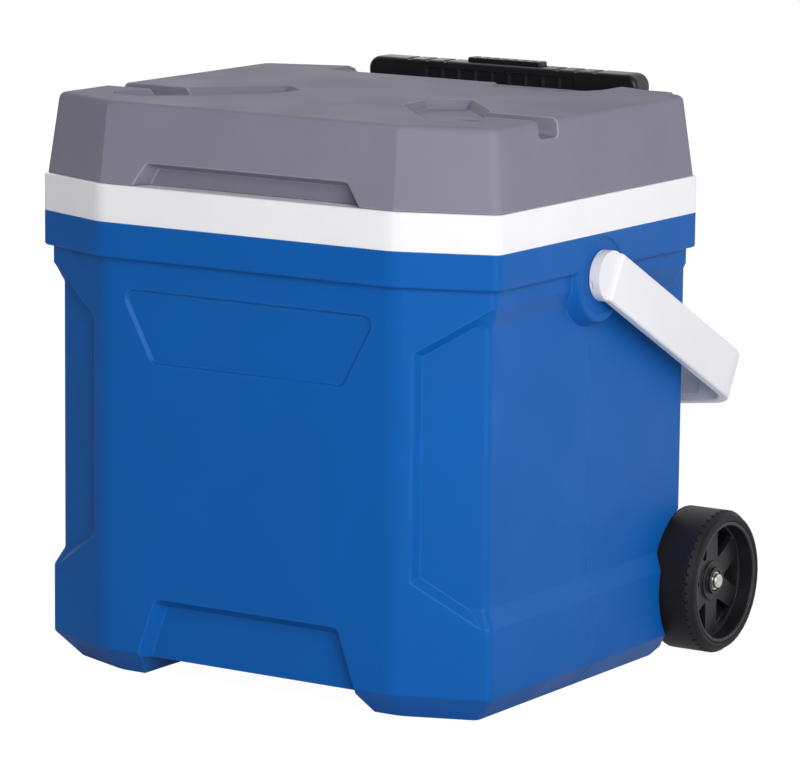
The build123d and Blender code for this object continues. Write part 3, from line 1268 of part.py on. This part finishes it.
for name, make in PIECES.items():
    made = make()
    placed = [ORIGIN_SHIFT * solid for solid in (made if isinstance(made, list) else [made])]
    piece = placed[0] if len(placed) == 1 else Compound(placed)
    export_step(piece, f"parts/{name}.step")
    print(name, round(piece.volume), "cubic mm,", len(piece.solids()), "solids")
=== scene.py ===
# %% [markdown]
# # Dressing a wheeled cooler
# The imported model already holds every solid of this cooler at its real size, in metres: the blue tub, the
# grey lid, the white bail, the two wheels and the telescopic tow handle. One way to dress it would be to
# model everything again in Blender. This lesson keeps the solids as they are, gives each one the surface
# that its real process leaves, and builds a small studio around them.

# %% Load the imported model
import math

import bpy
from mathutils import Matrix, Vector


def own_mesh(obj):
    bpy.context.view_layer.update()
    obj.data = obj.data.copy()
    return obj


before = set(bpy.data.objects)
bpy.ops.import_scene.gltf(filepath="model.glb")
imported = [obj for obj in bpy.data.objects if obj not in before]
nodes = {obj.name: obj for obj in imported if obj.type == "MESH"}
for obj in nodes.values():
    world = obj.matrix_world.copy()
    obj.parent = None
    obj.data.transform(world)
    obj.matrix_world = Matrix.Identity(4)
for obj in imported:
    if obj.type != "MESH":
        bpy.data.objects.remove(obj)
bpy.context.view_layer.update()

# %% [markdown]
# # The camera
# A product photograph is taken from a few metres away with a long lens, so upright lines stay nearly
# parallel. The camera's place, angles and lens were found together, by matching the outlines of the solids
# to the photograph. Blender could also aim a camera with a Track To constraint, but a matrix made of three
# directions shows exactly what the angles mean.

# %% Camera
IMAGE_WIDTH_PX = 800
FOCAL_LENGTH_PX = 4500
SENSOR_MM = 36
CAMERA_AZIMUTH = math.radians(32.78)
CAMERA_ELEVATION = math.radians(9.95)
CAMERA_ROLL = math.radians(0.6)
CAMERA_PLACE = Vector((1.69876, -2.62585, 0.73833))


def direction(azimuth, elevation):
    """The unit vector towards something seen at these angles, azimuth 0 being straight in front."""
    flat = math.cos(elevation)
    return Vector((math.sin(azimuth) * flat, -math.cos(azimuth) * flat, math.sin(elevation)))


backwards = direction(CAMERA_AZIMUTH, CAMERA_ELEVATION)
level_right = Vector((math.cos(CAMERA_AZIMUTH), math.sin(CAMERA_AZIMUTH), 0))
level_up = backwards.cross(level_right)
tilted_right = level_right * math.cos(CAMERA_ROLL) + level_up * math.sin(CAMERA_ROLL)
tilted_up = level_up * math.cos(CAMERA_ROLL) - level_right * math.sin(CAMERA_ROLL)

camera = bpy.data.objects.new("camera", bpy.data.cameras.new("camera"))
bpy.context.scene.collection.objects.link(camera)
bpy.context.scene.camera = camera
camera.data.sensor_width = SENSOR_MM
camera.data.lens = FOCAL_LENGTH_PX / IMAGE_WIDTH_PX * SENSOR_MM
turned = Matrix((tilted_right, tilted_up, backwards)).transposed().to_4x4()
camera.matrix_world = Matrix.Translation(CAMERA_PLACE) @ turned
print("the lens is", camera.data.lens, "mm")

# %% [markdown]
# # Helpers for materials
# Colours are written as the hex values that a paint chart or a web page uses. Blender's sockets want linear
# light, so one function turns one into the other. A second function adds a shader node, and sets each
# socket to a number or links it to another node's output, which keeps each material short enough to read.


# %% Helpers
def linear(hex_colour):
    """An sRGB hex colour as the linear RGBA that Blender's sockets take."""
    parts = [int(hex_colour[start : start + 2], 16) / 255 for start in (1, 3, 5)]
    return [part / 12.92 if part <= 0.04045 else ((part + 0.055) / 1.055) ** 2.4 for part in parts] + [1]


def add_node(tree, kind, sockets=None, **settings):
    """Adds a shader node. Each socket gets a value, or a link where it is given another node's output."""
    node = tree.nodes.new("ShaderNode" + kind)
    for name, value in settings.items():
        setattr(node, name, value)
    for name, value in (sockets or {}).items():
        if isinstance(value, bpy.types.NodeSocket):
            tree.links.new(value, node.inputs[name])
        else:
            node.inputs[name].default_value = value
    return node


def per_metre(size_mm):
    """The Scale of a texture whose features are this many millimetres across."""
    return 1000 / size_mm


FACTOR, COLOUR_A, COLOUR_B, MIXED = 0, 6, 7, 2


def empty_material(name):
    """A material with nothing in its node tree, and the place of its surface on the object."""
    material = bpy.data.materials.new(name)
    material.use_nodes = True
    tree = material.node_tree
    tree.nodes.clear()
    place = add_node(tree, "TexCoord").outputs["Object"]
    return material, tree, place


def finish_material(tree, shader):
    """Links a shader to the material's output."""
    add_node(tree, "OutputMaterial", {"Surface": shader})


# %% [markdown]
# # Soft edges, rubbed and painted with a highlight
# Moulds have a small radius on every edge, and handling rubs the edges smooth. The radii could be modelled
# on every solid. A Bevel node rounds the edges in the shading alone, and the difference between its normal
# and the true one also finds them. There a paler colour is painted, which is partly rubbed wear and partly
# a painted highlight, the thin line of light that a rounded edge catches. A noise then breaks up the line.


# %% Rubbed edges and a painted highlight
EDGE_BREAKUP_MM = 9
# The last value is the largest share of the paler edge colour, which paints wear and a highlight.
EDGE_BEGINS, EDGE_FULL, EDGE_WEAR_AND_HIGHLIGHT = 0.995, 0.9, 0.5


def wear_and_highlight_edges(tree, place, radius_mm):
    """The normal that rounds the edges, and the share of the paler colour of wear and painted highlight."""
    rounded = add_node(tree, "Bevel", {"Radius": radius_mm / 1000}, samples=8)
    true_normal = add_node(tree, "NewGeometry").outputs["Normal"]
    flatness = add_node(
        tree, "VectorMath", {0: rounded.outputs["Normal"], 1: true_normal}, operation="DOT_PRODUCT"
    )
    edge_share = add_node(
        tree,
        "MapRange",
        {
            "Value": flatness.outputs["Value"],
            "From Min": EDGE_BEGINS,
            "From Max": EDGE_FULL,
            "To Max": EDGE_WEAR_AND_HIGHLIGHT,
        },
    )
    # This noise breaks up the paler edge line of rubbed wear and painted highlight.
    edge_breakup = add_node(tree, "TexNoise", {"Vector": place, "Scale": per_metre(EDGE_BREAKUP_MM), "Detail": 3})
    wear_and_highlight_share = add_node(
        tree, "Math", {0: edge_share.outputs["Result"], 1: edge_breakup.outputs["Fac"]}, operation="MULTIPLY"
    )
    return rounded.outputs["Normal"], wear_and_highlight_share.outputs["Value"]


print("rub marks of", EDGE_BREAKUP_MM, "mm")

# %% [markdown]
# # Moulded plastic
# Most of the cooler is moulded polyolefin: polypropylene and polyethylene. Its colour goes all the way
# through, a faint mottle shows where the melt flowed, and the mould's spark-eroded grain breaks up the
# reflections. The grain on a real cooler is about half a millimetre, which is finer than the render can
# show, so it is drawn at one to three millimetres. It is coarsest and shallowest on the smooth white
# parts. Each plastic has three colours: the body, the flow marks and the paler edge, which is partly
# rubbed wear and partly a painted highlight.


# %% Moulded plastic
FLOW_MARK_MM = 55
FLOW_LOW, FLOW_HIGH = 0.35, 0.68
POLISH_LOW, POLISH_HIGH = 0.3, 0.7
GLOSSIER_BY, DULLER_BY = 0.04, 0.05


def moulded_plastic(name, colours, roughness, gloss, grain_mm, grain_depth_mm, radius_mm):
    """Coloured plastic with flow marks, mould grain, soft edges and a paler edge of wear and painted
    highlight.
    """
    colour, flow, wear_and_highlight_colour = (linear(hex_colour) for hex_colour in colours)
    material, tree, place = empty_material(name)
    melt = {"Vector": place, "Scale": per_metre(FLOW_MARK_MM), "Detail": 4}
    flow_marks = add_node(tree, "TexNoise", melt).outputs["Fac"]
    flow_share = add_node(
        tree, "MapRange", {"Value": flow_marks, "From Min": FLOW_LOW, "From Max": FLOW_HIGH}
    )
    body_colour = add_node(
        tree,
        "Mix",
        {FACTOR: flow_share.outputs["Result"], COLOUR_A: colour, COLOUR_B: flow},
        data_type="RGBA",
    )
    soft_normal, wear_and_highlight_share = wear_and_highlight_edges(tree, place, radius_mm)
    # Along the edges the paler colour is mixed in: rubbed wear and a painted highlight.
    edged_colour = add_node(
        tree,
        "Mix",
        {FACTOR: wear_and_highlight_share, COLOUR_A: body_colour.outputs[MIXED], COLOUR_B: wear_and_highlight_colour},
        data_type="RGBA",
    )
    grain = add_node(tree, "TexNoise", {"Vector": place, "Scale": per_metre(grain_mm), "Detail": 2})
    bump = add_node(
        tree,
        "Bump",
        {
            "Height": grain.outputs["Fac"],
            "Distance": grain_depth_mm / 1000,
            "Strength": 1.0,
            "Normal": soft_normal,
        },
    )
    polish = add_node(
        tree,
        "MapRange",
        {
            "Value": flow_marks,
            "From Min": POLISH_LOW,
            "From Max": POLISH_HIGH,
            "To Min": roughness - GLOSSIER_BY,
            "To Max": roughness + DULLER_BY,
        },
    )
    shader = add_node(
        tree,
        "BsdfPrincipled",
        {
            "Base Color": edged_colour.outputs[MIXED],
            "Roughness": polish.outputs["Result"],
            "IOR": 1.49,
            "Specular IOR Level": gloss,
            "Normal": bump.outputs["Normal"],
        },
    )
    finish_material(tree, shader.outputs["BSDF"])
    print("made", name)
    return material


# The third colour of each plastic is its paler edge: rubbed wear and a painted highlight.
tub_polypropylene_blue = moulded_plastic(
    "tub_polypropylene_blue",
    ("#01519B", "#014F97", "#3F86C2"),
    roughness=0.48,
    gloss=0.15,
    grain_mm=1.3,
    grain_depth_mm=0.035,
    radius_mm=1.6,
)
lid_polypropylene_grey = moulded_plastic(
    "lid_polypropylene_grey",
    ("#767483", "#73717F", "#D2D0DC"),
    roughness=0.66,
    gloss=0.1,
    grain_mm=1.2,
    grain_depth_mm=0.04,
    radius_mm=1.8,
)
liner_polyethylene_white = moulded_plastic(
    "liner_polyethylene_white",
    ("#D9D9DD", "#D5D5DA", "#E6E6E9"),
    roughness=0.36,
    gloss=0.4,
    grain_mm=2.6,
    grain_depth_mm=0.01,
    radius_mm=1.2,
)
bail_polypropylene_white = moulded_plastic(
    "bail_polypropylene_white",
    ("#D4D4D9", "#D0D0D5", "#E2E2E5"),
    roughness=0.34,
    gloss=0.4,
    grain_mm=2.4,
    grain_depth_mm=0.01,
    radius_mm=1.0,
)
fittings_polypropylene_black = moulded_plastic(
    "fittings_polypropylene_black",
    ("#131216", "#16151A", "#3D3C42"),
    roughness=0.42,
    gloss=0.34,
    grain_mm=0.9,
    grain_depth_mm=0.03,
    radius_mm=0.8,
)
tread_elastomer_black = moulded_plastic(
    "tread_elastomer_black",
    ("#17161B", "#1B1A1F", "#38373C"),
    roughness=0.55,
    gloss=0.15,
    grain_mm=0.9,
    grain_depth_mm=0.05,
    radius_mm=0.8,
)

# %% [markdown]
# # Anodised aluminium
# The two sliding pairs of tow tubes are aluminium. The die leaves faint lines along the tube, and anodising
# turns them satin. A noise stretched along the tube draws the lines, and drives the colour, the polish and
# the relief together, because a real line changes all three. Real lines are finer, and are drawn wide
# enough to show.


# %% Anodised aluminium
LINE_MM, LINE_RUN_MM, LINE_DEPTH_MM = 0.7, 120, 0.02


def anodised_aluminium(name):
    """Satin anodised tube with extrusion lines along it."""
    material, tree, place = empty_material(name)
    line_scale = (per_metre(LINE_MM), per_metre(LINE_MM), per_metre(LINE_RUN_MM))
    stretched = add_node(tree, "Mapping", {"Vector": place, "Scale": line_scale})
    streaks = {"Vector": stretched.outputs["Vector"], "Scale": 1.0, "Detail": 3}
    lines = add_node(tree, "TexNoise", streaks).outputs["Fac"]
    tint = add_node(
        tree,
        "Mix",
        {FACTOR: lines, COLOUR_A: linear("#C3C5C9"), COLOUR_B: linear("#DADCDF")},
        data_type="RGBA",
    )
    polish = add_node(tree, "MapRange", {"Value": lines, "To Min": 0.24, "To Max": 0.42})
    bump = add_node(tree, "Bump", {"Height": lines, "Distance": LINE_DEPTH_MM / 1000, "Strength": 0.6})
    shader = add_node(
        tree,
        "BsdfPrincipled",
        {
            "Base Color": tint.outputs[MIXED],
            "Metallic": 1.0,
            "Roughness": polish.outputs["Result"],
            "Normal": bump.outputs["Normal"],
        },
    )
    finish_material(tree, shader.outputs["BSDF"])
    return material


tube_aluminium_anodised = anodised_aluminium("tube_aluminium_anodised")
print("made", tube_aluminium_anodised.name)

# %% [markdown]
# # Powder-coated steel
# The fixed pair of tow tubes is steel with a black powder coat. The powder melts into a skin with a fine
# orange peel, which makes its highlights ripple. A second, wider noise stands for the dust that settles
# on it.


# %% Powder-coated steel
PEEL_MM, PEEL_DEPTH_MM, DUST_MM = 1.4, 0.04, 30


def powder_coated_steel(name):
    """Black powder coat with its orange peel."""
    material, tree, place = empty_material(name)
    peel = add_node(tree, "TexNoise", {"Vector": place, "Scale": per_metre(PEEL_MM), "Detail": 1})
    settled = {"Vector": place, "Scale": per_metre(DUST_MM), "Detail": 3}
    dust = add_node(tree, "TexNoise", settled).outputs["Fac"]
    tint = add_node(
        tree,
        "Mix",
        {FACTOR: dust, COLOUR_A: linear("#1B1B1E"), COLOUR_B: linear("#242427")},
        data_type="RGBA",
    )
    polish = add_node(tree, "MapRange", {"Value": dust, "To Min": 0.32, "To Max": 0.46})
    bump = add_node(
        tree, "Bump", {"Height": peel.outputs["Fac"], "Distance": PEEL_DEPTH_MM / 1000, "Strength": 0.8}
    )
    shader = add_node(
        tree,
        "BsdfPrincipled",
        {
            "Base Color": tint.outputs[MIXED],
            "Roughness": polish.outputs["Result"],
            "IOR": 1.5,
            "Normal": bump.outputs["Normal"],
        },
    )
    finish_material(tree, shader.outputs["BSDF"])
    return material


tube_steel_powder_coated = powder_coated_steel("tube_steel_powder_coated")
print("made", tube_steel_powder_coated.name)

# %% [markdown]
# # Zinc plating
# Screws, pins, washers, the axle and the spring are steel with zinc plating, which sets in small dull
# crystals. A Voronoi texture has one value per cell, so every crystal gets its own brightness. Real ones
# are too fine to see in the render, so they are drawn about a millimetre across.


# %% Zinc-plated steel
CRYSTAL_MM, CRYSTAL_DEPTH_MM = 1.1, 0.02


def zinc_plated_steel(name):
    """Zinc plating with crystals from pale to dull."""
    material, tree, place = empty_material(name)
    crystals = add_node(tree, "TexVoronoi", {"Vector": place, "Scale": per_metre(CRYSTAL_MM)})
    tint = add_node(
        tree,
        "Mix",
        {FACTOR: crystals.outputs["Color"], COLOUR_A: linear("#D2CFC8"), COLOUR_B: linear("#A9A69E")},
        data_type="RGBA",
    )
    inwards = crystals.outputs["Distance"]
    polish = add_node(tree, "MapRange", {"Value": inwards, "To Min": 0.28, "To Max": 0.4})
    bump = add_node(
        tree, "Bump", {"Height": inwards, "Distance": CRYSTAL_DEPTH_MM / 1000, "Strength": 0.5}
    )
    shader = add_node(
        tree,
        "BsdfPrincipled",
        {
            "Base Color": tint.outputs[MIXED],
            "Metallic": 1.0,
            "Roughness": polish.outputs["Result"],
            "Normal": bump.outputs["Normal"],
        },
    )
    finish_material(tree, shader.outputs["BSDF"])
    return material


fastener_steel_zinc_plated = zinc_plated_steel("fastener_steel_zinc_plated")
print("made", fastener_steel_zinc_plated.name)

# %% [markdown]
# # Foam
# Rigid polyurethane foam fills the walls. It is sealed in, so only a cut or an exploded view shows it, but
# it still gets its own surface: cream, with closed cells and hardly any gloss. A Voronoi texture is
# cellular by nature, so it makes both the colour of the cells and their relief. Real cells are well under
# a millimetre, and are drawn at about two so that they show.


# %% Foam
CELL_MM, CELL_DEPTH_MM = 2.2, 0.4


def rigid_foam(name):
    """Cream closed-cell foam."""
    material, tree, place = empty_material(name)
    cells = add_node(tree, "TexVoronoi", {"Vector": place, "Scale": per_metre(CELL_MM)}).outputs["Distance"]
    tint = add_node(
        tree,
        "Mix",
        {FACTOR: cells, COLOUR_A: linear("#DCCB9C"), COLOUR_B: linear("#EADDB8")},
        data_type="RGBA",
    )
    bump = add_node(tree, "Bump", {"Height": cells, "Distance": CELL_DEPTH_MM / 1000, "Strength": 0.8})
    shader = add_node(
        tree,
        "BsdfPrincipled",
        {
            "Base Color": tint.outputs[MIXED],
            "Roughness": 0.9,
            "Specular IOR Level": 0.2,
            "Normal": bump.outputs["Normal"],
        },
    )
    finish_material(tree, shader.outputs["BSDF"])
    return material


foam_polyurethane_cream = rigid_foam("foam_polyurethane_cream")
print("made", foam_polyurethane_cream.name)

# %% [markdown]
# # A finish for every piece
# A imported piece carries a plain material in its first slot. Assigning to the slot swaps the finish and
# leaves the mesh alone. One table from finish to pieces is easier to check than an assignment per piece.

# %% Assign the finishes
FINISHES = {
    tub_polypropylene_blue: ["outer_shell"],
    liner_polyethylene_white: ["inner_liner", "lid_liner"],
    foam_polyurethane_cream: ["wall_foam", "lid_foam"],
    lid_polypropylene_grey: ["lid_shell"],
    bail_polypropylene_white: ["bail_handle", "bail_bushings", "bail_retainers"],
    fittings_polypropylene_black: [
        "hinge_brackets",
        "axle_carrier",
        "wheel_rim_left",
        "wheel_rim_right",
        "tow_bracket",
        "tow_outer_collars",
        "tow_middle_collars",
        "tow_middle_glides",
        "tow_inner_glides",
        "grip_front",
        "grip_rear",
        "release_button",
        "release_yoke",
    ],
    tread_elastomer_black: ["wheel_tyre_left", "wheel_tyre_right"],
    tube_steel_powder_coated: ["tow_outer_tubes"],
    tube_aluminium_anodised: ["tow_middle_tubes", "tow_inner_tubes"],
    fastener_steel_zinc_plated: [
        "axle",
        "axle_caps",
        "wheel_washers",
        "hinge_pins",
        "hinge_screws",
        "carrier_screws",
        "tow_bracket_screws",
        "grip_screws",
        "button_spring",
        "lock_pins",
    ],
}


def wear(piece, material):
    """Gives every material slot of a piece this material."""
    if not piece.material_slots:
        piece.data.materials.append(material)
    for material_slot in piece.material_slots:
        material_slot.material = material


for material, names in FINISHES.items():
    for name in names:
        wear(nodes[name], material)
bare = set(nodes) - {name for names in FINISHES.values() for name in names}
print("pieces with no finish:", sorted(bare))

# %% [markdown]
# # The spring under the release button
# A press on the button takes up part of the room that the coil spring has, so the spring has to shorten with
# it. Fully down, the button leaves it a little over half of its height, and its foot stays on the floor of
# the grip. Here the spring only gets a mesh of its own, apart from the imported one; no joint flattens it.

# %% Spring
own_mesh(nodes["button_spring"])

# %% [markdown]
# # Studio floor and light
# The photograph is a catalogue picture on white. The floor is a pale sheet that keeps a soft shadow, and it
# glows for the camera and for reflections only, through the Light Path node, so no extra light reaches the
# cooler. It lies a fifth of a millimetre below the feet, so that the two surfaces never share a plane. A
# large low softbox at the right is the key light: the lid's cut corner is its palest face, and its top is
# about as bright as its front. Two weaker ones behind keep the far sides readable, and the world's even light
# fills the rest. Reflections find white paper behind the cooler and a dark room on the camera's side, as in
# a real studio, so the front keeps a deep colour while the side mirrors some white.


# %% Floor
FLOOR_HALF_M = 30
FLOOR_Z_M = -0.0002
FLOOR_CORNERS = [(-1, -1), (1, -1), (1, 1), (-1, 1)]
floor_mesh = bpy.data.meshes.new("studio_floor")
corners = [(x * FLOOR_HALF_M, y * FLOOR_HALF_M, FLOOR_Z_M) for x, y in FLOOR_CORNERS]
floor_mesh.from_pydata(corners, [], [(0, 1, 2, 3)])
floor = bpy.data.objects.new("studio_floor", floor_mesh)
bpy.context.scene.collection.objects.link(floor)
print("floor", 2 * FLOOR_HALF_M, "m wide")

# %% Light paths
DARK_SIDE = 0.03
HALF_BLEND = 0.3


def studio_brightness(tree, towards_back):
    """1 for the camera's own view and behind the cooler, falling to DARK_SIDE on the camera's side."""
    mirrored = add_node(
        tree,
        "MapRange",
        {"Value": towards_back, "From Min": -HALF_BLEND, "From Max": HALF_BLEND, "To Min": DARK_SIDE},
    )
    seen = add_node(tree, "LightPath").outputs["Is Camera Ray"]
    brightest = add_node(tree, "Math", {0: seen, 1: mirrored.outputs["Result"]}, operation="MAXIMUM")
    return brightest.outputs["Value"]


def seen_directly_or_mirrored(tree):
    """1 for the rays of the camera, of reflections and of clear materials, and 0 for all other light."""
    rays = add_node(tree, "LightPath").outputs
    share = rays["Is Camera Ray"]
    for kind in ("Is Glossy Ray", "Is Transmission Ray"):
        share = add_node(tree, "Math", {0: share, 1: rays[kind]}, operation="MAXIMUM").outputs["Value"]
    return share


print("reflections of the camera's side keep", DARK_SIDE, "of the brightness")

# %% Floor paper
PAPER_GLOW_SHARE, PAPER_GLOW = 0.9, 1.08
floor_paper, tree, place = empty_material("studio_paper_white")
paper = add_node(tree, "BsdfDiffuse", {"Color": linear("#F4F4F4")})
floor_point = add_node(tree, "NewGeometry").outputs["Position"]
floor_y = add_node(tree, "SeparateXYZ", {"Vector": floor_point}).outputs["Y"]
strength = add_node(tree, "Math", {0: studio_brightness(tree, floor_y), 1: PAPER_GLOW}, operation="MULTIPLY")
glow = add_node(tree, "Emission", {"Color": linear("#FFFFFF"), "Strength": strength.outputs["Value"]})
glow_share = add_node(
    tree, "Math", {0: seen_directly_or_mirrored(tree), 1: PAPER_GLOW_SHARE}, operation="MULTIPLY"
)
paper_mix = add_node(
    tree,
    "MixShader",
    {0: glow_share.outputs["Value"], 1: paper.outputs["BSDF"], 2: glow.outputs["Emission"]},
)
finish_material(tree, paper_mix.outputs["Shader"])
wear(floor, floor_paper)
print("made", floor_paper.name)

# %% World
WORLD_LEVEL = 0.4
world = bpy.data.worlds.new("studio")
bpy.context.scene.world = world
world.use_nodes = True
tree = world.node_tree
tree.nodes.clear()
even_light = add_node(tree, "Background", {"Color": linear("#FFFFFF"), "Strength": WORLD_LEVEL})
sky = add_node(tree, "TexCoord").outputs["Generated"]
sky_y = add_node(tree, "SeparateXYZ", {"Vector": sky}).outputs["Y"]
backdrop_strength = studio_brightness(tree, sky_y)
backdrop = add_node(tree, "Background", {"Color": linear("#FFFFFF"), "Strength": backdrop_strength})
world_mix = add_node(
    tree,
    "MixShader",
    {
        0: seen_directly_or_mirrored(tree),
        1: even_light.outputs["Background"],
        2: backdrop.outputs["Background"],
    },
)
add_node(tree, "OutputWorld", {"Surface": world_mix.outputs["Shader"]})
print("even light of", WORLD_LEVEL)

# %% Softboxes
LIGHT_TARGET = Vector((0, 0, 0.2))


def softbox(name, azimuth_deg, elevation_deg, distance_m, side_m, watts):
    """A square area lamp at these angles, turned towards the cooler."""
    lamp = bpy.data.objects.new(name, bpy.data.lights.new(name, "AREA"))
    lamp.data.size = side_m
    lamp.data.energy = watts
    towards = direction(math.radians(azimuth_deg), math.radians(elevation_deg))
    lamp.location = LIGHT_TARGET + towards * distance_m
    lamp.rotation_euler = towards.to_track_quat("Z", "Y").to_euler()
    bpy.context.scene.collection.objects.link(lamp)


softbox("key_softbox", azimuth_deg=47, elevation_deg=20, distance_m=2.8, side_m=1.6, watts=72)
softbox("fill_softbox", azimuth_deg=-130, elevation_deg=30, distance_m=3.0, side_m=2.0, watts=22)
softbox("side_softbox", azimuth_deg=140, elevation_deg=14, distance_m=2.8, side_m=1.6, watts=6)
bpy.context.scene.view_settings.view_transform = "Standard"
